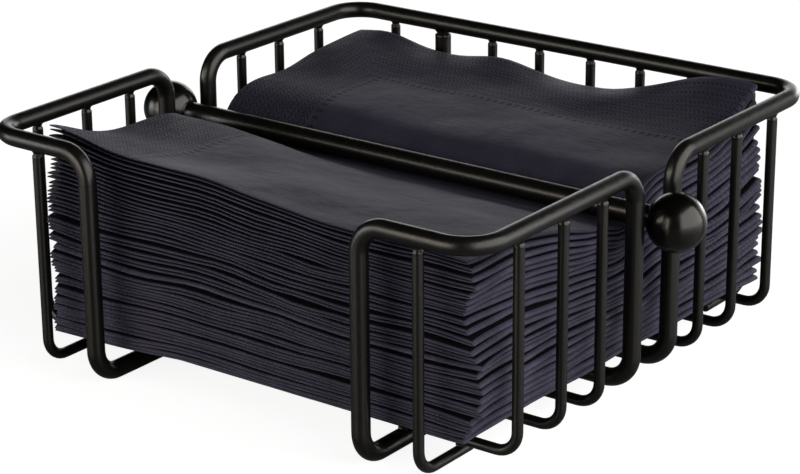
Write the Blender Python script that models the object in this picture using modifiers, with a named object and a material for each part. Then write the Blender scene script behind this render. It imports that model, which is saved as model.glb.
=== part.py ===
"""Napkin dispenser: a welded wire tray with a loose weight bar that lies on a stack of folded napkins.

Metres, +Z up. The origin is the middle of the tray on the surface it stands on. The open side, where
napkins are taken, faces -Y. The weight bar runs along X and slides up and down in a slot in each side.
"""

import math

import bpy
from mathutils import Matrix, Vector

# Wire and rod
HEAVY = 0.0057  # diameter of the frame rod, with its coating
THIN = 0.0034  # diameter of the rib wire, with its coating
HEAVY_SIDES = 12
THIN_SIDES = 8
GAP = 0.0003  # left between pieces that touch or are welded

# Tray
RAIL_SPAN = 0.1848  # between the centre lines of opposite rails, both ways
RAIL_Z = 0.0758  # centre line of the rail
CORNER_BEND = 0.0115  # bend radii, to the rod's centre line
HEAVY_BEND = 0.0090
THIN_BEND = 0.0072
BEND_STEPS = 6
OPENING_X = 0.0519  # half of the front opening, to the centre line of its uprights
SLOT_Y = 0.01065  # half of the bar's slot, to the centre line of its uprights
SIDE_RIB_Y = {"inner": 0.0287, "middle": 0.0494, "outer": 0.0719}
FRONT_RIB_X = 0.0725
REAR_RIB_X = (-0.0730, -0.0304, -0.0105, 0.0105, 0.0304, 0.0730)
RIB_TAIL = 0.0050  # how far an L-shaped rib runs on past the side rib that it is welded to

# Weight bar
BAR_DIAMETER = 0.0071
BALL_DIAMETER = 0.0185
BALL_X = 0.1003  # centre of each ball
SEAT_SHARE = 0.92  # where the ball is faced flat for the rod's shoulder, as a share of its radius
SPIGOT_DIAMETER = 0.0040
SPIGOT_LENGTH = 0.0060
ROUND_STEPS = 16
BALL_SEGMENTS = 24

# Napkins: 330 x 330 mm tissue folded in quarters. The packs are 5 mm narrower, to clear the wires' lower bends.
NAPKIN_X = 0.160
NAPKIN_Y = 0.165
STACK_X = 0.0036  # the stack lies a little to the right
STACK_RISE = 0.0150  # how much higher the stack's ends are than its middle, under the bar
PRESSED_HALF = 0.0030  # half the width of the flat that the bar presses
RISE_LENGTH = 0.0230  # how quickly the stack rises beside the bar
TOP_NAPKIN = 0.0012
PACKS = 4
STACK_POINTS = 20

# Levels that follow
LOW_Z = HEAVY / 2 * math.cos(math.pi / HEAVY_SIDES)  # the lower rods stand on a flat of their section
CROSS_Z = LOW_Z + HEAVY / 2 + GAP  # underside of the wires that cross over them
HEAVY_CROSS_Z = CROSS_Z + HEAVY / 2
THIN_CROSS_Z = CROSS_Z + THIN / 2
THIN_LOW_Z = CROSS_Z - GAP - THIN / 2
UNDER_RAIL_Z = RAIL_Z - HEAVY / 2 - GAP  # where the ribs end, welded under the rail
STACK_Z = CROSS_Z + HEAVY + GAP
BAR_Z = 0.0590  # centre line of the weight bar on a full stack
PRESSED_Z = BAR_Z - BAR_DIAMETER / 2 - GAP  # top of the stack under the bar
RAIL = RAIL_SPAN / 2

BLACK_COAT = ((0.022, 0.021, 0.018), 0.38, 0.0)
BALL_COAT = ((0.020, 0.019, 0.017), 0.25, 0.0)
NAPKIN_TISSUE = ((0.052, 0.050, 0.070), 0.95, 0.0)


def clear_scene():
    for obj in list(bpy.data.objects):
        bpy.data.objects.remove(obj, do_unlink=True)


def new_collection(name):
    collection = bpy.data.collections.new(name)
    bpy.context.scene.collection.children.link(collection)
    return collection


def finish_object(obj, collection, look):
    """Gives the object its own material and puts it in the collection, and in no other."""
    colour, roughness, metallic = look
    material = bpy.data.materials.new(obj.name + "_finish")
    material.use_nodes = True
    shader = material.node_tree.nodes["Principled BSDF"]
    shader.inputs["Base Color"].default_value = (*colour, 1.0)
    shader.inputs["Roughness"].default_value = roughness
    shader.inputs["Metallic"].default_value = metallic
    obj.data.materials.clear()
    obj.data.materials.append(material)
    for other in list(obj.users_collection):
        other.objects.unlink(obj)
    collection.objects.link(obj)
    return obj


def bent_path(corners, radii):
    """The centre line of a wire that is straight between corners and bent to a radius at each."""
    corners = [Vector(corner) for corner in corners]
    points = [corners[0]]
    for before, corner, after, radius in zip(corners, corners[1:], corners[2:], radii):
        to_before = (before - corner).normalized()
        to_after = (after - corner).normalized()
        half = to_before.angle(to_after) / 2
        middle = corner + (to_before + to_after).normalized() * (radius / math.sin(half))
        start = corner + to_before * (radius / math.tan(half)) - middle
        end = corner + to_after * (radius / math.tan(half)) - middle
        turn = start.angle(end)
        for step in range(BEND_STEPS + 1):
            share = step / BEND_STEPS
            along = start * math.sin((1 - share) * turn) + end * math.sin(share * turn)
            points.append(middle + along / math.sin(turn))
    points.append(corners[-1])
    return points


def add_wire(name, collection, points, diameter, sides):
    """A round wire along the points, with its section turned so that a flat faces down."""
    curve = bpy.data.curves.new(name, "CURVE")
    curve.dimensions = "3D"
    curve.bevel_depth = diameter / 2
    curve.bevel_resolution = sides // 2 - 2
    curve.use_fill_caps = True
    spline = curve.splines.new("POLY")
    spline.points.add(len(points) - 1)
    for spline_point, point in zip(spline.points, points):
        spline_point.co = (*point, 1.0)
        spline_point.tilt = math.pi / sides
    return finish_object(bpy.data.objects.new(name, curve), collection, BLACK_COAT)


def front_frame_wire(name, collection, side):
    """Half of the front frame. It starts under the rear rail, runs forward under the napkins, up one edge
    of the opening, round the front corner to the slot, and down to the butt joint under the middle."""
    corners = [
        (side * OPENING_X, RAIL, UNDER_RAIL_Z),
        (side * OPENING_X, RAIL, LOW_Z),
        (side * OPENING_X, -RAIL, LOW_Z),
        (side * OPENING_X, -RAIL, RAIL_Z),
        (side * RAIL, -RAIL, RAIL_Z),
        (side * RAIL, -SLOT_Y, RAIL_Z),
        (side * RAIL, -SLOT_Y, HEAVY_CROSS_Z),
        (side * GAP / 2, -SLOT_Y, HEAVY_CROSS_Z),
    ]
    radii = [HEAVY_BEND] * 3 + [CORNER_BEND] + [HEAVY_BEND] * 2
    add_wire(name, collection, bent_path(corners, radii), HEAVY, HEAVY_SIDES)


def rear_frame_wire(name, collection):
    """The rear frame: one rod bent to a loop, whose ends meet under the middle of the tray."""
    corners = [
        (-GAP / 2, SLOT_Y, HEAVY_CROSS_Z),
        (-RAIL, SLOT_Y, HEAVY_CROSS_Z),
        (-RAIL, SLOT_Y, RAIL_Z),
        (-RAIL, RAIL, RAIL_Z),
        (RAIL, RAIL, RAIL_Z),
        (RAIL, SLOT_Y, RAIL_Z),
        (RAIL, SLOT_Y, HEAVY_CROSS_Z),
        (GAP / 2, SLOT_Y, HEAVY_CROSS_Z),
    ]
    radii = [HEAVY_BEND] * 2 + [CORNER_BEND] * 2 + [HEAVY_BEND] * 2
    add_wire(name, collection, bent_path(corners, radii), HEAVY, HEAVY_SIDES)


def side_rib(name, collection, y):
    """A U-shaped rib across the tray, from under one side rail to under the other."""
    corners = [
        (-RAIL, y, UNDER_RAIL_Z),
        (-RAIL, y, THIN_CROSS_Z),
        (RAIL, y, THIN_CROSS_Z),
        (RAIL, y, UNDER_RAIL_Z),
    ]
    add_wire(name, collection, bent_path(corners, [THIN_BEND] * 2), THIN, THIN_SIDES)


def end_rib(name, collection, x, side):
    """An L-shaped rib at the front (side -1) or rear (side 1), which ends under the outer side rib."""
    corners = [
        (x, side * RAIL, UNDER_RAIL_Z),
        (x, side * RAIL, THIN_LOW_Z),
        (x, side * (SIDE_RIB_Y["outer"] - RIB_TAIL), THIN_LOW_Z),
    ]
    add_wire(name, collection, bent_path(corners, [THIN_BEND]), THIN, THIN_SIDES)


def turned(name, collection, profile, look):
    """A turned piece along X. The profile is (radius, distance along X) from its +X end to its -X end."""
    mesh = bpy.data.meshes.new(name)
    points = [(radius, 0.0, along) for radius, along in profile]
    mesh.from_pydata(points, [(i, i + 1) for i in range(len(points) - 1)], [])
    obj = finish_object(bpy.data.objects.new(name, mesh), collection, look)
    screw = obj.modifiers.new("Turn", "SCREW")
    screw.axis = "Z"
    screw.steps = ROUND_STEPS
    screw.render_steps = ROUND_STEPS
    screw.use_merge_vertices = True
    screw.merge_threshold = 0.00005
    screw.use_smooth_shade = True
    obj.rotation_euler = (0.0, math.pi / 2, 0.0)
    return obj


def bar_rod(name, collection, parent):
    """The rod of the weight bar: a shoulder against each ball, and a spigot inside it."""
    rod = BAR_DIAMETER / 2
    spigot = SPIGOT_DIAMETER / 2
    chamfer = 0.0004
    shoulder = BALL_X - SEAT_SHARE * BALL_DIAMETER / 2 - GAP
    tip = shoulder + SPIGOT_LENGTH
    half = [
        (0.0, tip),
        (spigot - chamfer, tip),
        (spigot, tip - chamfer),
        (spigot, shoulder),
        (rod, shoulder),
    ]
    profile = half + [(radius, -along) for radius, along in reversed(half)]
    turned(name, collection, profile, BLACK_COAT).parent = parent


def ball_knob(name, collection, cutters, parent, side):
    """A ball with a flat seat for the rod's shoulder and a blind bore for its spigot."""
    radius = BALL_DIAMETER / 2
    bpy.ops.mesh.primitive_uv_sphere_add(
        segments=BALL_SEGMENTS,
        ring_count=BALL_SEGMENTS // 2,
        radius=radius,
        location=(side * BALL_X, 0.0, 0.0),
        rotation=(0.0, math.pi / 2, 0.0),
    )
    ball = bpy.context.object
    ball.name = name
    ball.data.name = name
    ball.data.shade_smooth()
    finish_object(ball, collection, BALL_COAT)
    ball.parent = parent

    seat = SEAT_SHARE * radius
    bore = SPIGOT_DIAMETER / 2 + GAP
    depth = SPIGOT_LENGTH + GAP
    profile = [
        (0.0, depth - seat),
        (bore, depth - seat),
        (bore, -seat),
        (radius, -seat),
        (radius, -radius - depth),
        (0.0, -radius - depth),
    ]
    cutter = turned(name + "_cutter", cutters, profile, BALL_COAT)
    if side < 0:
        cutter.rotation_euler = (0.0, -math.pi / 2, 0.0)
    cutter.location = (side * BALL_X, 0.0, 0.0)
    cutter.hide_render = True
    cutter.display_type = "WIRE"
    cutter.parent = parent
    cut = ball.modifiers.new("Seat and bore", "BOOLEAN")
    cut.operation = "DIFFERENCE"
    cut.solver = "EXACT"
    cut.object = cutter


def stack_top(y):
    """Height of the stack's top: pressed flat under the bar, and rising to both ends."""
    beside = max(0.0, abs(y) - PRESSED_HALF) / RISE_LENGTH
    return PRESSED_Z + STACK_RISE * (1 - math.exp(-beside * beside))


def layer_z(share, y):
    """Height in the stack, where share runs from 0 at the bottom to 1 at the top."""
    return STACK_Z + share * (stack_top(y) - STACK_Z)


def napkin_layer(name, collection, low, high):
    """A slab of folded napkins whose underside and top are the heights low(y) and high(y)."""
    ys = [NAPKIN_Y * (i / STACK_POINTS - 0.5) for i in range(STACK_POINTS + 1)]
    outline = [(y, low(y)) for y in ys] + [(y, high(y)) for y in reversed(ys)]
    curve = bpy.data.curves.new(name, "CURVE")
    curve.dimensions = "2D"
    curve.fill_mode = "BOTH"
    curve.extrude = NAPKIN_X / 2
    spline = curve.splines.new("POLY")
    spline.points.add(len(outline) - 1)
    for spline_point, (y, z) in zip(spline.points, outline):
        spline_point.co = (y, z, 0.0, 1.0)
    spline.use_cyclic_u = True
    obj = finish_object(bpy.data.objects.new(name, curve), collection, NAPKIN_TISSUE)
    obj.rotation_euler = (math.pi / 2, 0.0, math.pi / 2)
    obj.location = (STACK_X, 0.0, 0.0)
    return obj


def add_tray(collection):
    front_frame_wire("left_front_frame_wire", collection, -1)
    front_frame_wire("right_front_frame_wire", collection, 1)
    rear_frame_wire("rear_frame_wire", collection)
    for place, y in SIDE_RIB_Y.items():
        side_rib(f"front_side_rib_{place}", collection, -y)
        side_rib(f"rear_side_rib_{place}", collection, y)
    end_rib("front_rib_left", collection, -FRONT_RIB_X, -1)
    end_rib("front_rib_right", collection, FRONT_RIB_X, -1)
    for number, x in enumerate(REAR_RIB_X, start=1):
        end_rib(f"rear_rib_{number}", collection, x, 1)


def add_napkins(collection):
    """The napkins: packs that stay in the tray, and the top napkin, which goes down with the level."""
    thickness = TOP_NAPKIN + GAP
    for number in range(PACKS):
        low_share = number / PACKS
        high_share = (number + 1) / PACKS

        def low(y, share=low_share):
            return layer_z(share, y) - share * thickness

        def high(y, share=high_share):
            return layer_z(share, y) - share * thickness - GAP

        napkin_layer(f"napkin_pack_{number + 1}", collection, low, high)
    level = bpy.data.objects.new("napkin_level_axis", None)
    level.location = (0.0, 0.0, PRESSED_Z)
    collection.objects.link(level)
    top = napkin_layer("top_napkin", collection, lambda y: stack_top(y) - TOP_NAPKIN, stack_top)
    top.parent = level
    top.matrix_parent_inverse = Matrix.Translation(-level.location)


def add_weight_bar(collection, cutters):
    axis = bpy.data.objects.new("weight_bar_axis", None)
    axis.location = (0.0, 0.0, BAR_Z)
    collection.objects.link(axis)
    bar_rod("bar_rod", collection, axis)
    ball_knob("ball_knob_left", collection, cutters, axis, -1)
    ball_knob("ball_knob_right", collection, cutters, axis, 1)


def main():
    clear_scene()
    parts = new_collection("napkin_dispenser")
    cutters = new_collection("cutters")
    add_tray(parts)
    add_napkins(parts)
    add_weight_bar(parts, cutters)


main()
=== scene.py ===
"""Looks of the napkin dispenser: coated wires with their welds, the weight bar and the folded napkins.

Lengths are in metres, as in the frame. The napkins' shapes are worked out in millimetres.
"""

import math
import random

import bpy
import numpy as np
from mathutils import Matrix, Vector


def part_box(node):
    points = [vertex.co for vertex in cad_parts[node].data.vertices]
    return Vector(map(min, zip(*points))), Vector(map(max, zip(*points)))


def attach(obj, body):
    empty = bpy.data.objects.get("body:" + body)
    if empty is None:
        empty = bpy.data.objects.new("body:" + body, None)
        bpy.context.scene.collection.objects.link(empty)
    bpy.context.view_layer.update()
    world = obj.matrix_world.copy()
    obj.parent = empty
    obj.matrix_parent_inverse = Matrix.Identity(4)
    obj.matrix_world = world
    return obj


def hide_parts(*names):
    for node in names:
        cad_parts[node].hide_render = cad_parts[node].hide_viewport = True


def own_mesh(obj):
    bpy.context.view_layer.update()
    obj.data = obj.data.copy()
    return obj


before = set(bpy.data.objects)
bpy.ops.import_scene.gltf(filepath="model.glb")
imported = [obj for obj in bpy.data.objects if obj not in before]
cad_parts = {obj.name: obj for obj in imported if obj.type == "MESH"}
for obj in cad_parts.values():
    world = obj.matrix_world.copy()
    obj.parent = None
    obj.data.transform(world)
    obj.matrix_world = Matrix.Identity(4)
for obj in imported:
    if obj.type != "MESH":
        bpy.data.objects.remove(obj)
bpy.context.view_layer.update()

MM = 0.001


def middle(node):
    """The x, y and z of the middle of a CAD node's box."""
    low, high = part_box(node)
    return [(a + b) / 2 for a, b in zip(low, high)]


# The wires, as the CAD has them
HEAVY = 5.7 * MM
THIN = 3.4 * MM
GAP = 0.3 * MM
CORNER_BEND = 11.5 * MM
HEAVY_BEND = 9.0 * MM
THIN_BEND = 7.2 * MM
OPENING_X = 51.9 * MM  # half the front opening, to the centre line of its uprights
FACET = math.cos(math.pi / 12)  # the CAD's heavy rods have 12 sides, and a flat faces out
THIN_FACET = math.cos(math.pi / 8)
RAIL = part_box("rear_frame_wire")[1].x - HEAVY / 2 * FACET
RAIL_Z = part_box("rear_frame_wire")[1].z - HEAVY / 2 * FACET
LOW_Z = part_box("left_front_frame_wire")[0].z + HEAVY / 2 * FACET
HEAVY_CROSS_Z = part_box("rear_frame_wire")[0].z + HEAVY / 2 * FACET
THIN_CROSS_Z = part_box("front_side_rib_outer")[0].z + THIN / 2 * THIN_FACET
THIN_LOW_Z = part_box("front_rib_left")[0].z + THIN / 2 * THIN_FACET
SLOT_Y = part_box("rear_frame_wire")[0].y + HEAVY / 2 * FACET
WELD_TOP = RAIL_Z - HEAVY / 2 + 0.4 * MM  # a wire welded under a rail runs a little way into it
CROSSING_Z = LOW_Z + HEAVY / 2 + GAP / 2  # where the wires over the lowest rods are welded to them
HEAVY_SIDES = 28
THIN_SIDES = 20
HEAVY_STEPS = 14  # points along a bend
THIN_STEPS = 10
FRAME_BEAD = 2.3 * MM  # half sizes of the weld nuggets
RIB_BEAD = 1.7 * MM
END_BEAD = 1.5 * MM

# Near a wire's ends, where the welds change its radius
END_REACH = 3.6 * MM
END_STEP = 0.3 * MM
NECK_AT = (0.0, 0.45, 0.7, 0.95, 1.2, 1.5, 1.9, 2.6)  # mm from the rail
NECK_RADIUS = (1.02, 0.92, 0.78, 0.76, 0.84, 0.97, 1.02, 1.00)  # as a share of the wire's own

# The weight bar
BAR_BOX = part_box("bar_rod")
BAR_Z = middle("bar_rod")[2]
BAR_RADIUS = (BAR_BOX[1].z - BAR_BOX[0].z) / 2
BALL_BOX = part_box("ball_knob_right")
BALL_RADIUS = (BALL_BOX[1].z - BALL_BOX[0].z) / 2
BALL_X = BALL_BOX[1].x - BALL_RADIUS
SEAT_X = BALL_BOX[0].x
COAT_COLOUR = (0.0020, 0.0019, 0.0016)
BALL_COLOUR = (0.0012, 0.0011, 0.001)

# The napkins
NAPKINS = 24
PACKS = 4
PER_PACK = NAPKINS // PACKS
FOLDED = 165 * MM
SHEET = 2 * FOLDED
HALF = SHEET / 2 / MM  # half of the open sheet, and the whole of the folded one, in mm
TISSUE = 0.22 * MM
STACK_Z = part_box("napkin_pack_1")[0].z
PRESSED_Z = BAR_Z - BAR_RADIUS - GAP
LEVEL_RISE = 9.0  # mm, the stack's mean height above the bar's dent
DIP_POWER = 2.0  # the dent fades faster than linearly down the stack
RISE_POWER = 1.25  # and the raised corners nearly linearly
CREASES_FRONT = 0.96  # the share of napkins whose first fold, with its two creases, faces the opening
TOP_STEP = 3.6  # mm between the points of the topmost napkin
STACK_STEP = 7.6  # and of the ones under it
BAR_STEP = 2.6  # and, at most, of any napkin where the bar presses

# How far the front left corners of the topmost napkins lift or drop, in mm, from the top one down
LEAVES = [0.4, 0.1, -0.3, -0.5, -0.3]

# How far the front right corners stick out, in mm, from the lowest napkin to the topmost
CORNER_WAVE = [-2.8, 1.8, 3.0, 1.4, -2.6, 2.2, -0.4]

# Gaps that open between napkins: share of the height, x, y, reach along the side, reach in, width
OPENINGS = [
    (0.77, 25.0, -83.0, 9.0, 12.0, 1.4),
    (0.53, 23.0, -83.0, 6.0, 12.0, 1.5),
    (0.56, -7.0, -83.0, 8.0, 10.0, 0.7),
    (0.76, 84.0, 80.0, 12.0, 14.0, 2.6),
    (0.42, 84.0, 84.0, 12.0, 14.0, 2.0),
    (0.10, 84.0, 82.0, 14.0, 16.0, 2.2),
    (0.30, -80.0, -60.0, 30.0, 10.0, 1.2),
    (0.62, -80.0, 30.0, 30.0, 12.0, 1.2),
    (0.35, -20.0, 84.0, 26.0, 10.0, 1.4),
]
RIGHT_AND_LEFT = 78.0  # a gap at least this far from the middle in x is on the right or left side

# The embossing, in mm. The borders are in from the sheet's edge: start, full, start of the end, end.
HERRINGBONE = (2.0, 3.5, 33.8, 34.8)
CLOSING_ROW = (35.4, 36.0, 37.9, 38.6)
ROW = 2.2
DASH_PITCH = 1.7
CLOSING_PITCH = 2.9
DIMPLE_PITCH = 1.25

# The same tissue in two copies whose colours are set for how light falls on each: a napkin under another
# one, seen at its folds, is painted lighter and gets painted shade deep between its folds; the topmost one,
# seen on its face, is painted darker
STACKED = {
    "dark": (0.0138, 0.0131, 0.0192),
    "light": (0.0236, 0.0224, 0.0325),
    "wear_and_highlight": 1.1,
    "pressed_dark": 0.22,
    "relief": 0.25,
    "crepe": 0.8,
    "crumple": 2.2,
    "sheen": 0.01,
}
TOPMOST = {
    "dark": (0.0098, 0.0090, 0.0150),
    "light": (0.0174, 0.0161, 0.0264),
    "wear_and_highlight": 0.5,
    "pressed_dark": 0.65,
    "relief": 1.0,
    "crepe": 0.45,
    "crumple": 3.4,
    "sheen": 0.02,
}

# Upright soft boxes that stand on the floor and face the part: bearing in degrees from +X towards +Y,
# distance, width, height, glow and colour
PANELS = {
    "right_panel": (5.0, 0.95, 1.85, 1.25, 4.9, (1.0, 1.0, 1.0)),
    "left_panel": (-104.0, 1.3, 0.9, 0.75, 6.6, (1.0, 0.93, 0.84)),
    "far_left_panel": (-141.0, 1.6, 0.74, 0.52, 7.0, (0.92, 0.96, 1.0)),
    "backdrop": (105.0, 1.9, 3.4, 0.8, 2.0, (1.0, 1.0, 1.0)),
    "backdrop_glow": (88.0, 1.8, 0.7, 0.3, 6.0, (1.0, 1.0, 1.0)),
}
ROOM = 0.008  # how bright the rest of the room is
FLOOR_GLOW = 0.88

# The camera, at the photograph's angle
LENS = 115.32
CAMERA_AT = (0.4654, -0.6256, 0.3177)
CAMERA_YAW = 36.805
CAMERA_DOWN = 20.054
CAMERA_ROLL = -0.42

random.seed(7)


# ---------------------------------------------------------------- materials


def grey(value):
    return (value, value, value)


class Graph:
    """A new material's nodes, with a short call for each kind that is used here."""

    def __init__(self, name):
        self.material = bpy.data.materials.new(name)
        self.material.use_nodes = True
        self.nodes = self.material.node_tree.nodes
        self.links = self.material.node_tree.links
        self.shader = self.nodes["Principled BSDF"]

    def noise(self, source, size, detail=3.0, rough=0.55):
        """A noise whose features are about size across, in the units of source."""
        node = self.nodes.new("ShaderNodeTexNoise")
        node.inputs["Scale"].default_value = 1.0 / size
        node.inputs["Detail"].default_value = detail
        node.inputs["Roughness"].default_value = rough
        self.links.new(source, node.inputs["Vector"])
        return node.outputs["Fac"]

    def ramp(self, source, low, low_colour, high, high_colour):
        """low_colour where source is low, high_colour where it is high."""
        node = self.nodes.new("ShaderNodeValToRGB")
        for element, place, colour in zip(node.color_ramp.elements, (low, high), (low_colour, high_colour)):
            element.position = place
            element.color = (*colour, 1.0)
        self.links.new(source, node.inputs["Fac"])
        return node.outputs["Color"]

    def math(self, operation, *values):
        """A math node, from numbers and from other nodes' outputs."""
        node = self.nodes.new("ShaderNodeMath")
        node.operation = operation
        for socket, value in zip(node.inputs, values):
            if isinstance(value, (int, float)):
                socket.default_value = value
            else:
                self.links.new(value, socket)
        return node.outputs[0]

    def wave(self, source, pitch):
        """A sine of source, in the units of pitch."""
        return self.math("SINE", self.math("MULTIPLY", source, 2 * math.pi / pitch))

    def band(self, source, low, high):
        """0 on low's side, 1 on high's side, with a soft step between."""
        node = self.nodes.new("ShaderNodeMapRange")
        node.interpolation_type = "SMOOTHSTEP"
        node.inputs["From Min"].default_value = low
        node.inputs["From Max"].default_value = high
        self.links.new(source, node.inputs["Value"])
        return node.outputs["Result"]

    def between(self, source, limits):
        """1 between the two inner limits, which fades to 0 at the outer ones."""
        low, low_full, high_full, high = limits
        return self.math("MULTIPLY", self.band(source, low, low_full), self.band(source, high, high_full))

    def mix(self, blend, colour):
        """A mix whose first colour is linked. The caller sets its second colour and its factor."""
        node = self.nodes.new("ShaderNodeMix")
        node.data_type = "RGBA"
        node.blend_type = blend
        self.links.new(colour, node.inputs["A"])
        return node

    def bump(self, height, strength, distance):
        """Gives the shader a surface relief."""
        node = self.nodes.new("ShaderNodeBump")
        node.inputs["Strength"].default_value = strength
        node.inputs["Distance"].default_value = distance
        self.links.new(height, node.inputs["Height"])
        self.links.new(node.outputs["Normal"], self.shader.inputs["Normal"])


def powder_coat(name, colour, roughness, peel):
    """A satin powder coat: orange peel, soft patches in the gloss, and the faint dust of handling."""
    graph = Graph(name)
    shader = graph.shader
    place = graph.nodes.new("ShaderNodeTexCoord").outputs["Object"]
    patches = graph.noise(place, 24 * MM, 2.0)
    dark = tuple(c * 0.75 for c in colour)
    light = tuple(c * 1.35 for c in colour)
    graph.links.new(graph.ramp(patches, 0.3, dark, 0.7, light), shader.inputs["Base Color"])
    grain = graph.noise(place, 1.6 * MM)
    rough = graph.ramp(grain, 0.3, grey(roughness - 0.04), 0.72, grey(roughness + 0.05))
    graph.links.new(rough, shader.inputs["Roughness"])
    graph.bump(graph.noise(place, 0.9 * MM, 2.0, 0.45), peel, 0.03 * MM)
    shader.inputs["Specular IOR Level"].default_value = 0.30
    shader.inputs["Specular Tint"].default_value = (1.0, 0.97, 0.90, 1.0)
    return graph.material


def sheet_places(graph):
    """Where a point lies on the open sheet: its UVs, which run from -1 to 1, and u and v alone."""
    uv = graph.nodes.new("ShaderNodeUVMap")
    uv.uv_map = "Sheet"
    split = graph.nodes.new("ShaderNodeSeparateXYZ")
    graph.links.new(uv.outputs["UV"], split.inputs["Vector"])
    return uv.outputs["UV"], split.outputs["X"], split.outputs["Y"]


def sheet_distances(graph, u, v):
    """In mm on the open sheet: in from its edge, along that edge, and in from the nearest fold or edge."""
    far_u = graph.math("ABSOLUTE", u)
    far_v = graph.math("ABSOLUTE", v)
    inset = graph.math("SUBTRACT", 1.0, graph.math("MAXIMUM", far_u, far_v))
    inset = graph.math("MULTIPLY", inset, HALF)
    nearer = graph.math("GREATER_THAN", far_u, far_v)
    along = graph.math("MULTIPLY_ADD", graph.math("SUBTRACT", v, u), nearer, u)
    along = graph.math("MULTIPLY", along, HALF)
    # The bend of the second fold is wider, so its pale band is narrower and its painted shade starts nearer
    # to the fold
    wide_v = graph.math("MULTIPLY", far_v, 1.6)
    from_fold = graph.math("MULTIPLY", graph.math("MINIMUM", far_u, wide_v), HALF)
    return inset, along, graph.math("MINIMUM", from_fold, inset)


def embossing(graph, inset, along):
    """1 where the tissue is pressed in: herringbone rows of short dashes, and a row of longer ones."""
    row = graph.math("DIVIDE", inset, ROW)
    lean = graph.math("MULTIPLY_ADD", graph.math("MODULO", graph.math("FLOOR", row), 2.0), 2.0, -1.0)
    slant = graph.math("MULTIPLY_ADD", inset, lean, along)
    in_row = graph.math("SINE", graph.math("MULTIPLY", graph.math("FRACT", row), math.pi))
    dash = graph.band(graph.math("MULTIPLY", graph.wave(slant, DASH_PITCH), in_row), 0.15, 0.5)
    dash = graph.math("MULTIPLY", dash, graph.between(inset, HERRINGBONE))
    closing = graph.band(graph.wave(along, CLOSING_PITCH), 0.1, 0.5)
    closing = graph.math("MULTIPLY", closing, graph.between(inset, CLOSING_ROW))
    return graph.math("MULTIPLY_ADD", closing, 0.8, dash)


def tissue_colour(graph, look, sheet, fibres, pressed, from_rim):
    """Dyed in clouds, flecked by fibres and darker where pressed in. Paler along folds and edges, partly
    worn dye and partly a painted highlight, and on napkins under the topmost one painted shade deep between
    the folds.
    """
    cloud = graph.noise(sheet, 0.11, 5.0, 0.62)
    dyed = graph.mix("MULTIPLY", graph.ramp(cloud, 0.32, look["dark"], 0.68, look["light"]))
    dyed.inputs["Factor"].default_value = 1.0
    graph.links.new(graph.ramp(fibres, 0.28, grey(0.60), 0.75, grey(1.32)), dyed.inputs["B"])
    # Darker where the embossing presses the tissue in
    pressed_dark = graph.mix("MIX", dyed.outputs["Result"])
    pressed_dark.inputs["B"].default_value = (0.003, 0.0029, 0.0042, 1.0)
    graph.links.new(graph.math("MULTIPLY", pressed, look["pressed_dark"]), pressed_dark.inputs["Factor"])
    # Paler within about half a millimetre of a fold or edge: partly worn dye, partly a painted highlight on
    # the fold's front
    shade = graph.math("MULTIPLY_ADD", graph.band(from_rim, 0.6, 0.1), look["wear_and_highlight"], 1.0)
    if look is STACKED:
        # Painted shade: darker deep between the folds, where little light gets
        lit = graph.math("MULTIPLY_ADD", graph.band(from_rim, 0.85, 0.12), 0.93, 0.07)
        shade = graph.math("MULTIPLY", shade, lit)
    shaded = graph.nodes.new("ShaderNodeVectorMath")
    shaded.operation = "SCALE"
    graph.links.new(pressed_dark.outputs["Result"], shaded.inputs[0])
    graph.links.new(shade, shaded.inputs["Scale"])
    graph.links.new(shaded.outputs["Vector"], graph.shader.inputs["Base Color"])


def tissue_relief(graph, look, sheet, dimple, fibres, pressed):
    """Pressed dashes, fine dimples, a soft crepe, a loose crumple, and fibres."""
    stretched = graph.nodes.new("ShaderNodeMapping")
    stretched.inputs["Scale"].default_value = (1.0, 0.22, 1.0)
    graph.links.new(sheet, stretched.inputs["Vector"])
    crepe = graph.noise(stretched.outputs["Vector"], 0.009, 3.0, 0.6)
    crumple = graph.noise(sheet, 0.09, 2.0, 0.4)
    height = graph.math("MULTIPLY_ADD", pressed, -look["relief"], 0.5)
    height = graph.math("MULTIPLY_ADD", dimple, 0.10, height)
    height = graph.math("MULTIPLY_ADD", crepe, look["crepe"], height)
    height = graph.math("MULTIPLY_ADD", crumple, look["crumple"], height)
    height = graph.math("MULTIPLY_ADD", fibres, 0.3, height)
    graph.bump(height, 1.0, 0.4 * MM)


def tissue(name, look):
    """Dyed tissue with an embossed border along the open sheet's edges. look is STACKED or TOPMOST."""
    graph = Graph(name)
    shader = graph.shader
    sheet, u, v = sheet_places(graph)
    inset, along, from_rim = sheet_distances(graph, u, v)
    pressed = embossing(graph, inset, along)
    rising = graph.wave(graph.math("ADD", u, v), DIMPLE_PITCH / HALF)
    falling = graph.wave(graph.math("SUBTRACT", u, v), DIMPLE_PITCH / HALF)
    dimple = graph.math("MULTIPLY", rising, falling)
    fibres = graph.noise(sheet, 0.0045, 5.0, 0.7)
    tissue_colour(graph, look, sheet, fibres, pressed, from_rim)
    tissue_relief(graph, look, sheet, dimple, fibres, pressed)
    graph.links.new(graph.ramp(fibres, 0.3, grey(0.50), 0.7, grey(0.60)), shader.inputs["Roughness"])
    if look is STACKED:
        shader.inputs["Specular IOR Level"].default_value = 0.03
    else:
        shine = graph.math("MULTIPLY_ADD", pressed, -0.105, 0.14)
        graph.links.new(shine, shader.inputs["Specular IOR Level"])
        shader.inputs["Specular Tint"].default_value = (0.86, 0.82, 1.0, 1.0)
    shader.inputs["Sheen Weight"].default_value = look["sheen"]
    shader.inputs["Sheen Roughness"].default_value = 0.6
    shader.inputs["Sheen Tint"].default_value = (0.75, 0.75, 0.9, 1.0)
    return graph.material


# ---------------------------------------------------------------- wires


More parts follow.
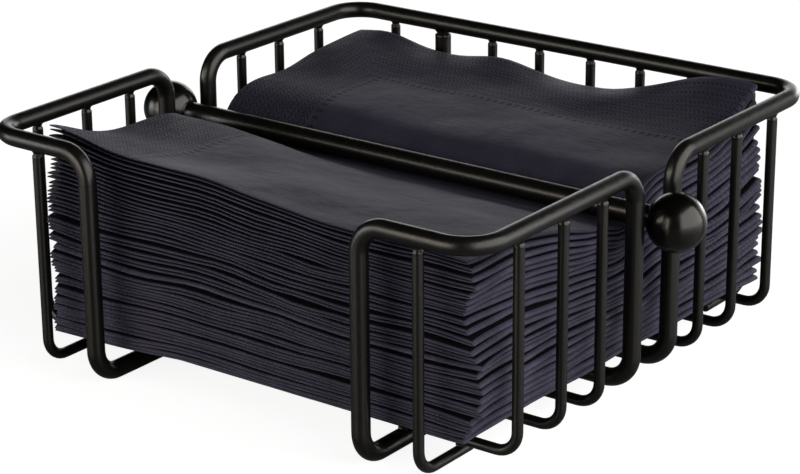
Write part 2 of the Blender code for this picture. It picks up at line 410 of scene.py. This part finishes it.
def bent_path(corners, radii, steps):
    """The centre line of a wire that is straight between corners and bent to a radius at each."""
    corners = [Vector(corner) for corner in corners]
    points = [corners[0]]
    for before, corner, after, radius in zip(corners, corners[1:], corners[2:], radii):
        to_before = (before - corner).normalized()
        to_after = (after - corner).normalized()
        half = to_before.angle(to_after) / 2
        centre = corner + (to_before + to_after).normalized() * (radius / math.sin(half))
        start = corner + to_before * (radius / math.tan(half)) - centre
        end = corner + to_after * (radius / math.tan(half)) - centre
        turn = start.angle(end)
        for step in range(steps + 1):
            share = step / steps
            along = start * math.sin((1 - share) * turn) + end * math.sin(share * turn)
            points.append(centre + along / math.sin(turn))
    points.append(corners[-1])
    return points


def loop(centre, across, up, sides):
    """Points round an ellipse with the half axes across and up."""
    turns = [2 * math.pi * k / sides for k in range(sides)]
    return [centre + across * math.cos(turn) + up * math.sin(turn) for turn in turns]


class Shape:
    """Vertices and faces gathered into one mesh."""

    def __init__(self):
        self.points = []
        self.faces = []

    def fan(self, start, ring, flip):
        """Closes one end of a skin with triangles round a point in the ring's middle."""
        centre = len(self.points)
        sides = len(ring)
        self.points.append(sum(ring, Vector()) / sides)
        for i in range(sides):
            a = start + i
            b = start + (i + 1) % sides
            self.faces.append((b, a, centre) if flip else (a, b, centre))

    def rings(self, rings):
        """Skins a list of rings with the same number of points, and closes both ends with a fan."""
        first = len(self.points)
        sides = len(rings[0])
        for ring in rings:
            self.points.extend(ring)
        last = len(self.points) - sides
        for row in range(len(rings) - 1):
            a = first + row * sides
            for i in range(sides):
                j = (i + 1) % sides
                self.faces.append((a + i, a + j, a + sides + j, a + sides + i))
        self.fan(first, rings[0], True)
        self.fan(last, rings[-1], False)

    def tube(self, path, radius, sides):
        """A round tube along the path. radius(distance from start, distance to end) gives its radius."""
        lengths = [0.0]
        for a, b in zip(path, path[1:]):
            lengths.append(lengths[-1] + (b - a).length)
        total = lengths[-1]
        rings = []
        side = None
        for i, point in enumerate(path):
            before = path[max(i - 1, 0)]
            after = path[min(i + 1, len(path) - 1)]
            along = (after - before).normalized()
            if side is None:
                side = along.orthogonal().normalized()
            side = (side - along * side.dot(along)).normalized()
            r = radius(lengths[i], total - lengths[i])
            rings.append(loop(point, side * r, along.cross(side) * r, sides))
        self.rings(rings)

    def bead(self, centre, half, rows=6, sides=12):
        """A small weld bead: an ellipsoid with the half sizes half."""
        x, y, z = centre
        rings = []
        for row in range(1, rows):
            polar = math.pi * row / rows
            level = Vector((x, y, z - half[2] * math.cos(polar)))
            across = Vector((half[0] * math.sin(polar), 0.0, 0.0))
            up = Vector((0.0, half[1] * math.sin(polar), 0.0))
            rings.append(loop(level, across, up, sides))
        self.rings(rings)

    def to_object(self, name, material, sharp=math.radians(50)):
        """The gathered mesh as an object. Edges that turn more than sharp stay sharp."""
        mesh = bpy.data.meshes.new(name)
        mesh.from_pydata([tuple(p) for p in self.points], [], self.faces)
        mesh.validate()
        mesh.shade_smooth()
        mesh.set_sharp_from_angle(angle=sharp)
        mesh.materials.append(material)
        obj = bpy.data.objects.new(name, mesh)
        bpy.context.scene.collection.objects.link(obj)
        return obj


def refine_ends(path):
    """Adds points near both ends of a path, where the weld changes the radius."""
    path = list(path)
    for _ in range(2):
        path.reverse()
        start, following = path[0], path[1]
        along = (following - start).normalized()
        count = int(END_REACH / END_STEP)
        path[1:1] = [start + along * (END_STEP * (k + 1)) for k in range(count)]
    return path


def weld_neck(distance, full):
    """Radius near an end that is welded under a rail: a fillet, a neck, then a round shoulder."""
    return full * float(np.interp(distance / MM, NECK_AT, NECK_RADIUS))


def butt_ring(distance, full):
    """Radius near a butt weld: a low collar of weld metal."""
    return full * (1.0 + 0.10 * math.exp(-((distance / (0.9 * MM)) ** 2)))


def cut_end(distance, full):
    """Radius near a sheared end, whose edge the coating rounds."""
    lip = 0.5 * MM
    if distance >= lip:
        return full
    return full * (0.80 + 0.20 * math.sqrt(max(0.0, 1 - (1 - distance / lip) ** 2)))


def wire(node, diameter, corners, radii, start, end, beads=()):
    """The coated wire that replaces a CAD node. The functions start and end finish its two ends."""
    full = diameter / 2
    heavy = diameter == HEAVY
    path = bent_path(corners, radii, HEAVY_STEPS if heavy else THIN_STEPS)

    def radius(from_start, to_end):
        if from_start < to_end:
            return start(from_start, full)
        return end(to_end, full)

    shape = Shape()
    shape.tube(refine_ends(path), radius, HEAVY_SIDES if heavy else THIN_SIDES)
    for centre, half in beads:
        shape.bead(centre, half)
    obj = shape.to_object(node + "_look", COAT)
    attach(obj, "basket")
    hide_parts(node)


def cross_beads(xs, ys, z, size):
    """Weld nuggets where wires cross, one for each x and y."""
    return [((x, y, z), (size, size, 0.55 * size)) for x in xs for y in ys]


def add_front_frame_wire(side):
    """From under the rear rail, under the napkins, up beside the opening, and round to the bar's slot."""
    node = ("left" if side < 0 else "right") + "_front_frame_wire"
    corners = [
        (side * OPENING_X, RAIL, WELD_TOP),
        (side * OPENING_X, RAIL, LOW_Z),
        (side * OPENING_X, -RAIL, LOW_Z),
        (side * OPENING_X, -RAIL, RAIL_Z),
        (side * RAIL, -RAIL, RAIL_Z),
        (side * RAIL, -SLOT_Y, RAIL_Z),
        (side * RAIL, -SLOT_Y, HEAVY_CROSS_Z),
        (0.0, -SLOT_Y, HEAVY_CROSS_Z),
    ]
    radii = [HEAVY_BEND] * 3 + [CORNER_BEND] + [HEAVY_BEND] * 2
    beads = cross_beads([side * OPENING_X], [-SLOT_Y, SLOT_Y], CROSSING_Z, FRAME_BEAD)
    wire(node, HEAVY, corners, radii, weld_neck, butt_ring, beads)


def add_rear_frame_wire():
    """A closed ring: across under the napkins, up the slot's rear side, and round the rear rail."""
    corners = [
        (0.0, SLOT_Y, HEAVY_CROSS_Z),
        (-RAIL, SLOT_Y, HEAVY_CROSS_Z),
        (-RAIL, SLOT_Y, RAIL_Z),
        (-RAIL, RAIL, RAIL_Z),
        (RAIL, RAIL, RAIL_Z),
        (RAIL, SLOT_Y, RAIL_Z),
        (RAIL, SLOT_Y, HEAVY_CROSS_Z),
        (0.0, SLOT_Y, HEAVY_CROSS_Z),
    ]
    radii = [HEAVY_BEND] * 2 + [CORNER_BEND] * 2 + [HEAVY_BEND] * 2
    wire("rear_frame_wire", HEAVY, corners, radii, butt_ring, butt_ring)


def add_side_rib(node):
    """Down from the left rail, across under the napkins, and up to the right rail."""
    y = middle(node)[1]
    corners = [
        (-RAIL, y, WELD_TOP),
        (-RAIL, y, THIN_CROSS_Z),
        (RAIL, y, THIN_CROSS_Z),
        (RAIL, y, WELD_TOP),
    ]
    beads = cross_beads([-OPENING_X, OPENING_X], [y], CROSSING_Z, RIB_BEAD)
    wire(node, THIN, corners, [THIN_BEND] * 2, weld_neck, weld_neck, beads)


def add_end_rib(node):
    """Down from the front or rear rail and in under the first side rib, with a sheared end."""
    low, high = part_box(node)
    x = middle(node)[0]
    side = 1 if high.y > 0 else -1
    tail = low.y if side > 0 else high.y
    corners = [(x, side * RAIL, WELD_TOP), (x, side * RAIL, THIN_LOW_Z), (x, tail, THIN_LOW_Z)]
    crossing = middle(node.split("_")[0] + "_side_rib_outer")[1]
    beads = cross_beads([x], [crossing], THIN_LOW_Z + THIN / 2 + GAP / 2, END_BEAD)
    wire(node, THIN, corners, [THIN_BEND], weld_neck, cut_end, beads)


def add_wires():
    add_front_frame_wire(-1)
    add_front_frame_wire(1)
    add_rear_frame_wire()
    for end in ("front", "rear"):
        for place in ("inner", "middle", "outer"):
            add_side_rib(f"{end}_side_rib_{place}")
    for node in ["front_rib_left", "front_rib_right"] + [f"rear_rib_{n}" for n in range(1, 7)]:
        add_end_rib(node)


# ---------------------------------------------------------------- weight bar


def turned(name, profile, material, sides):
    """A piece turned about the bar's axis, from a profile of (x, radius)."""
    rings = []
    for x, radius in profile:
        across = Vector((0.0, radius, 0.0))
        up = Vector((0.0, 0.0, radius))
        rings.append(loop(Vector((x, 0.0, BAR_Z)), across, up, sides))
    shape = Shape()
    shape.rings(rings)
    return shape.to_object(name, material, math.radians(40))


def add_rod():
    """The rod runs a little way into both balls, and its edges are soft."""
    shoulder = SEAT_X + 0.1 * MM
    soft = 0.35 * MM
    straight = shoulder - soft
    parts = 24
    right_end = []
    for k in range(5):
        turn = math.pi / 2 * k / 4
        right_end.append((straight + soft * math.sin(turn), BAR_RADIUS - soft + soft * math.cos(turn)))
    profile = [(-x, r) for x, r in reversed(right_end)]
    profile += [(-straight + 2 * straight * k / parts, BAR_RADIUS) for k in range(1, parts)]
    profile += right_end
    rod = turned("bar_rod_look", profile, BAR_COAT, sides=40)
    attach(rod, "weight_bar")
    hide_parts("bar_rod")


def add_ball(node, side):
    """A ball, with a small fillet of coating between its seat and the rod."""
    seat = BALL_X - SEAT_X
    steps = 40
    profile = [(-seat - 0.45 * MM, BAR_RADIUS + 0.05 * MM), (-seat - 0.15 * MM, BAR_RADIUS + 0.35 * MM)]
    start = math.acos(seat / BALL_RADIUS)
    pole = math.pi - 0.02
    for k in range(steps + 1):
        turn = start + (pole - start) * k / steps
        profile.append((-BALL_RADIUS * math.cos(turn), BALL_RADIUS * math.sin(turn)))
    profile = [(side * (BALL_X + x), r) for x, r in profile]
    if side < 0:
        profile.reverse()
    ball = turned(node + "_look", profile, BALL_COAT, sides=64)
    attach(ball, "weight_bar")
    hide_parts(node)


# ---------------------------------------------------------------- napkins


def smooth(x):
    """0 up to 0, 1 from 1 on, with a soft step between."""
    x = np.clip(x, 0.0, 1.0)
    return x * x * (3 - 2 * x)


def hill(x, at, reach):
    """A smooth hill, 1 at its top, that falls off within about reach on each side."""
    return np.exp(-(((x - at) / reach) ** 2))


def stack_top(x, y):
    """Height of the stack's top in mm, for x and y in mm: pressed in by the bar, with raised corners."""
    away = np.abs(y)
    # In front of the bar a straight ramp that flattens out, in the bar's shadow; behind it a steep bank
    ramp_length = 18.0 + 26.0 * smooth((x + 62.0) / 75.0)
    ramp_share = np.maximum(0.0, away - 4.0) / ramp_length
    front_rise = 12.8 * np.logaddexp(-7.0 * ramp_share, -7.0) / -7.0
    bank = 1 - np.exp(-((np.maximum(0.0, away - 1.2) / 7.5) ** 1.3))
    rear_rise = 12.0 * bank + smooth((away - 30.0) / 50.0)
    z = PRESSED_Z / MM + np.where(y < 0, front_rise, rear_rise)
    front = 1.0 + 5.6 * smooth((48.0 - x) / 75.0) + 4.6 * smooth((-38.0 - x) / 40.0)
    z = z + front * np.clip((-y - 40.0) / 43.0, 0.0, None) ** 2
    rear = 2.6 * hill(x, -68.0, 14.0) + 1.4 * hill(x, -22.0, 14.0)
    rear = rear - 0.9 * hill(x, 6.0, 12.0) + 12.0 * smooth((x - 22.0) / 58.0)
    z = z + rear * np.clip((y - 46.0) / 36.0, 0.0, None) ** 2
    left = smooth((-x - 30.0) / 50.0)
    return z + 2.0 * left * hill(y, 68.0, 13.0)


def stack_bottom(x, y):
    """Underside in mm: flat on the wires, and hanging over the first one at the front left."""
    hang = 1.2 + 3.6 * smooth((-20.0 - x) / 50.0)
    front = np.clip((-y - 73.0) / 10.0, 0.0, 1.2) ** 2
    return STACK_Z / MM - hang * front


def wrinkles(x, y):
    """Soft waves in the upper napkins, in mm."""
    z = 0.58 * np.sin(x / 11.0 + 0.8 * np.sin(y / 17.0) + 1.0) * np.cos(y / 9.5 + 0.4)
    z = z + 0.34 * np.sin(y / 5.2 + 1.1 * np.sin(x / 19.0 + 0.5)) * np.sin(x / 33.0 + 0.9)
    z = z + 0.26 * np.sin((x + y) / 6.3 + 0.7) * np.sin((x - y) / 14.0)
    return z * smooth((np.abs(y) - 6.0) / 14.0)


def edge_waves(x, y, z):
    """Waves round the sides of the stack, in mm, that shift from one height to the next."""
    wave = 0.95 * np.sin(x / 13.4 + z / 5.1 + 0.6)
    wave = wave + 0.55 * np.sin(x / 6.1 - z / 3.7 + 2.1)
    wave = wave + 0.75 * np.sin(y / 12.0 + z / 4.6 + 4.0)
    wave = wave + 0.35 * np.sin(y / 5.2 - z / 3.4)
    edge = np.maximum(smooth((np.abs(x) - 45.0) / 35.0), smooth((np.abs(y) - 45.0) / 35.0))
    return 0.42 * wave * edge


def opened(x, y, number):
    """How far the gaps in OPENINGS move a napkin, in mm: up if it is above a gap, down if it is below."""
    z = 0.0
    for place, gap_x, gap_y, along, into, width in OPENINGS:
        steps = number + 0.5 - place * NAPKINS
        reach_x, reach_y = (along, into) if abs(gap_x) < RIGHT_AND_LEFT else (into, along)
        shift = math.copysign(width / 2, steps) * math.exp(-(abs(steps) - 0.5) / 3.0)
        z = z + shift * hill(x, gap_x, reach_x) * hill(y, gap_y, reach_y)
    return z


def napkin_levels(x, y, number):
    """Middle height and pitch in mm of a napkin, for arrays x and y in mm."""
    top = stack_top(x, y)
    bottom = stack_bottom(x, y)
    share = (number + 0.5) / NAPKINS
    level = PRESSED_Z / MM + LEVEL_RISE
    power = np.where(top < level, DIP_POWER, RISE_POWER)
    z = bottom + share * (level - bottom) + share**power * (top - level)
    z = z + edge_waves(x, y, z) * 4 * share * (1 - share)
    z = z + wrinkles(x, y) * smooth((share - 0.45) / 0.5)
    z = z + opened(x, y, number)
    pitch = (level - bottom + power * share ** (power - 1) * (top - level)) / NAPKINS
    return z, pitch


def napkin_corners(number):
    """Where a folded napkin's four corners lie, in mm: front left, front right, rear right, rear left."""
    high = smooth((number / NAPKINS - 0.55) / 0.4)
    wave = np.interp(number / NAPKINS, np.linspace(0, 1, len(CORNER_WAVE)), CORNER_WAVE)
    corners = [
        (-79.5 + 4.0 * high, -82.5),
        (84.0 + wave, -82.5 - 0.2 * wave),
        (84.0 - 2.5 * high, 82.0 - 0.5 * high),
        (-79.0 - 4.0 * high, 82.5 + 1.5 * high),
    ]
    turned_by = random.gauss(0.0, 0.3)
    slip_x = random.gauss(0.0, 0.35) + 0.8 * math.sin(2 * math.pi * number / NAPKINS)
    slip_y = random.gauss(0.0, 0.3)
    places = []
    for x, y in corners:
        places.append((
            x + slip_x - math.radians(turned_by) * y + random.gauss(0.0, 0.2),
            y + slip_y + math.radians(turned_by) * x + random.gauss(0.0, 0.25),
        ))
    return places


def fold_line(step, fine):
    """Across a fold, for one row of points: distance in from it, side and bulge.

    The side runs from -1 below to 1 above. fine adds points halfway, where the bar presses.
    """
    near = [0.0, 1.6, 3.4, 6.5]
    far = [HALF - d for d in (0.0, 1.6, 5.0)]
    inner = np.arange(11.0, HALF - 8.0, step)
    if fine:
        pressed = np.arange(58.0, 108.0, min(step, BAR_STEP))
        inner = np.concatenate([inner[inner < 57.0], pressed, inner[inner > 109.0]])
    places = np.array(near + list(inner) + sorted(far))
    turns = np.linspace(-math.pi / 2, math.pi / 2, 7)[1:-1]
    inset = np.concatenate([places[::-1], np.zeros(len(turns)), places])
    side = np.concatenate([-np.ones(len(places)), np.sin(turns), np.ones(len(places))])
    bulge = np.concatenate([np.zeros(len(places)), np.cos(turns), np.zeros(len(places))])
    return inset, side, bulge


def folded_shares(first, second):
    """How far in from the first and the second fold each point lies, as shares of the folded width.

    The second fold goes round a larger bend on the outer layers, and the free edges don't quite meet.
    """
    inset, side, bulge = first
    second_inset, second_side, second_bulge = second
    upper = (1 + second_side) / 2
    lower = 1 - upper
    inner = (1 - side) / 2
    slip_upper = random.uniform(0.0, 0.25)
    slip_lower = random.uniform(0.0, 0.35)
    slip = slip_lower + (slip_upper - slip_lower) * upper
    a = (inset + 0.35 * (1 - bulge) + slip * np.exp(-inset / 18.0)) / HALF
    b = (second_inset + 1.1 - 1.1 * (2 + side) / 3 * second_bulge) / HALF
    loose_a = 0.5 * random.random() * lower + 0.3 * random.random() * inner
    loose_b = 0.5 * random.random() * inner + 0.3 * random.random() * lower
    a = np.clip(a - loose_a * smooth((a - 0.85) / 0.15) / HALF, 0.0, 1.0)
    b = np.clip(b - loose_b * smooth((b - 0.85) / 0.15) / HALF, 0.0, 1.0)
    return a, b


def between_corners(corners, back, across):
    """Places on a napkin, in mm: back from its front edge and across from its left one, as shares."""
    front_left, front_right, rear_right, rear_left = corners
    places = []
    for axis in (0, 1):
        front = (1 - across) * front_left[axis] + across * front_right[axis]
        rear = (1 - across) * rear_left[axis] + across * rear_right[axis]
        places.append((1 - back) * front + back * rear)
    return places


def layer_height(first, second, creases_front):
    """Height of the four layers, from -1 to 1 of the napkin's half pitch: closer together at the folds."""
    inset, side, _ = first
    second_inset, second_side, _ = second
    sharp, soft = (0.70, 0.30) if creases_front else (0.05, 0.62)
    crease = 1 - sharp * np.exp(-inset / 1.9)
    evened = 1 - 0.25 * np.exp(-inset / 3.4) if creases_front else 1.0
    wrapped = 1 - soft * np.exp(-second_inset / 4.0)
    return second_side * (2 * evened + side * crease) / 3 * wrapped


def napkin_mesh(number, step):
    """One napkin, folded in quarters from a single sheet: vertices in metres, faces and UVs.

    The first fold leaves two creases, one for each half of the sheet. The second fold wraps both halves.
    """
    creases_front = random.random() < CREASES_FRONT
    first = [k[None, :] for k in fold_line(step, creases_front)]
    second = [k[:, None] for k in fold_line(step, not creases_front)]
    a, b = folded_shares(first, second)
    back, across = (a, 1 - b) if creases_front else (b, 1 - a)
    x, y = between_corners(napkin_corners(number), back, across)
    phase = random.uniform(0, 6.28)
    lift = random.uniform(-0.05, 0.05)
    lift_right = random.uniform(-0.08, 0.08)
    y = y + 0.25 * np.sin(x / 9.0 + phase) * smooth((np.abs(y) - 60) / 20)
    x = x + 0.35 * np.sin(y / 8.0 + phase * 1.7) * smooth((np.abs(x) - 60) / 20)
    z, pitch = napkin_levels(x, y, number)

    # How far the layers stand apart. They are pinched together a little along the left and rear sides.
    open_half = np.maximum(pitch / 2 - TISSUE / MM / 2 - 0.05, 0.05)
    from_left = np.maximum(x + 78.0, 0.0)
    from_rear = np.maximum(82.5 - y, 0.0)
    pinch = (1 - 0.12 * np.exp(-from_left / 5.0)) * (1 - 0.06 * np.exp(-from_rear / 5.0))
    z = z + layer_height(first, second, creases_front) * open_half * pinch
    z = z + lift * hill(y, -83.0, 9.0) + lift_right * hill(x, 84.0, 9.0)
    # The corners of the topmost napkins spread like leaves
    from_top = NAPKINS - 1 - number
    if from_top < len(LEAVES):
        z = z + LEAVES[from_top] * hill(x, -78.0, 17.0) * hill(y, -84.0, 12.0)

    points = np.stack([x, y, z], -1).reshape(-1, 3) * MM
    rows, columns = x.shape
    index = np.arange(rows * columns).reshape(rows, columns)
    quads = np.stack([index[:-1, :-1], index[:-1, 1:], index[1:, 1:], index[1:, :-1]], -1).reshape(-1, 4)
    flat_u = np.sign(first[1]) * first[0] / HALF
    flat_v = np.sign(second[1]) * second[0] / HALF
    uvs = np.stack(np.broadcast_arrays(flat_u, flat_v), -1).reshape(-1, 2)
    return points, quads, uvs


def napkin_object(number, step):
    """A folded napkin as an object, with the tissue's thickness."""
    name = f"napkin_{number + 1:02d}"
    points, quads, uvs = napkin_mesh(number, step)
    mesh = bpy.data.meshes.new(name)
    mesh.from_pydata(points.tolist(), [], quads.tolist())
    layer = mesh.uv_layers.new(name="Sheet")
    layer.data.foreach_set("uv", uvs[quads.reshape(-1)].reshape(-1))
    mesh.shade_smooth()
    mesh.materials.append(TOP_TISSUE if number == NAPKINS - 1 else STACKED_TISSUE)
    thin = bpy.data.objects.new(name + "_middle", mesh)
    bpy.context.scene.collection.objects.link(thin)
    solid = thin.modifiers.new("Thickness", "SOLIDIFY")
    solid.thickness = TISSUE
    solid.offset = 0.0
    solid.use_even_offset = False
    depsgraph = bpy.context.evaluated_depsgraph_get()
    thick = bpy.data.meshes.new_from_object(thin.evaluated_get(depsgraph))
    bpy.data.objects.remove(thin)
    obj = bpy.data.objects.new(name, thick)
    bpy.context.scene.collection.objects.link(obj)
    return obj


def add_napkins():
    for number in range(NAPKINS):
        top = number == NAPKINS - 1
        obj = napkin_object(number, TOP_STEP if top else STACK_STEP)
        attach(obj, "basket")
        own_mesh(obj)
        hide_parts("top_napkin" if top else f"napkin_pack_{number // PER_PACK + 1}")


# ---------------------------------------------------------------- stage, light and camera


def split_by_ray(tree, others, seen, output):
    """Shows the shader seen to the camera, and the shader others to all other rays."""
    mix = tree.nodes.new("ShaderNodeMixShader")
    ray = tree.nodes.new("ShaderNodeLightPath")
    tree.links.new(ray.outputs["Is Camera Ray"], mix.inputs["Fac"])
    tree.links.new(others.outputs[0], mix.inputs[1])
    tree.links.new(seen.outputs[0], mix.inputs[2])
    tree.links.new(mix.outputs["Shader"], tree.nodes[output].inputs["Surface"])


def add_floor():
    """A white floor that glows a little, as a lit sweep does."""
    bpy.ops.mesh.primitive_plane_add(size=6.0, location=(0.0, 0.0, 0.0))
    floor = bpy.context.object
    floor.name = "floor"
    graph = Graph("floor_white")
    graph.shader.inputs["Base Color"].default_value = (0.2, 0.2, 0.2, 1.0)
    graph.shader.inputs["Roughness"].default_value = 0.9
    graph.shader.inputs["Specular IOR Level"].default_value = 0.0
    graph.shader.inputs["Emission Color"].default_value = (1.0, 1.0, 1.0, 1.0)
    graph.shader.inputs["Emission Strength"].default_value = FLOOR_GLOW
    # What the part's gloss meets is a polished board, which mirrors the soft boxes
    board = graph.nodes.new("ShaderNodeBsdfPrincipled")
    board.inputs["Base Color"].default_value = (0.2, 0.2, 0.2, 1.0)
    board.inputs["Roughness"].default_value = 0.2
    board.inputs["Specular IOR Level"].default_value = 0.4
    split_by_ray(graph.material.node_tree, board, graph.shader, "Material Output")
    floor.data.materials.append(graph.material)


def add_surround():
    """A white surround that only the camera sees."""
    world = bpy.data.worlds.new("studio")
    world.use_nodes = True
    dark = world.node_tree.nodes["Background"]
    dark.inputs["Strength"].default_value = ROOM
    bright = world.node_tree.nodes.new("ShaderNodeBackground")
    bright.inputs["Color"].default_value = (1.0, 1.0, 1.0, 1.0)
    split_by_ray(world.node_tree, dark, bright, "World Output")
    bpy.context.scene.world = world


def add_panel(name, bearing, distance, width, height, glow, colour):
    """One of the soft boxes in PANELS."""
    data = bpy.data.lights.new(name, "AREA")
    data.shape = "RECTANGLE"
    data.size = width
    data.size_y = height
    data.energy = glow * math.pi * width * height
    data.color = colour
    obj = bpy.data.objects.new(name, data)
    turn = math.radians(bearing)
    place = Vector((distance * math.cos(turn), distance * math.sin(turn), height / 2))
    obj.location = place
    obj.rotation_euler = Vector((-place.x, -place.y, 0.0)).to_track_quat("-Z", "Y").to_euler()
    obj.visible_camera = False
    bpy.context.scene.collection.objects.link(obj)


def add_camera():
    """At the photograph's angle, with a long lens and no shift."""
    data = bpy.data.cameras.new("camera")
    data.lens = LENS
    data.sensor_width = 36.0
    data.clip_start = 0.01
    data.clip_end = 30.0
    camera = bpy.data.objects.new("camera", data)
    turn = Matrix.Rotation(math.radians(CAMERA_YAW), 4, "Z")
    tilt = Matrix.Rotation(math.radians(90.0 - CAMERA_DOWN), 4, "X")
    roll = Matrix.Rotation(math.radians(CAMERA_ROLL), 4, "Z")
    camera.matrix_world = Matrix.Translation(CAMERA_AT) @ turn @ tilt @ roll
    bpy.context.scene.collection.objects.link(camera)
    bpy.context.scene.camera = camera


add_camera()
COAT = powder_coat("black_powder_coat", COAT_COLOUR, roughness=0.31, peel=0.03)
BAR_COAT = powder_coat("black_bar_coat", COAT_COLOUR, roughness=0.30, peel=0.03)
BALL_COAT = powder_coat("black_ball_coat", BALL_COLOUR, roughness=0.22, peel=0.015)
TOP_TISSUE = tissue("navy_tissue_top", TOPMOST)
STACKED_TISSUE = tissue("navy_tissue", STACKED)
add_wires()
add_rod()
add_ball("ball_knob_left", -1)
add_ball("ball_knob_right", 1)
add_napkins()
add_floor()
add_surround()
for panel_name, panel in PANELS.items():
    add_panel(panel_name, *panel)
bpy.context.scene.view_settings.view_transform = "Standard"
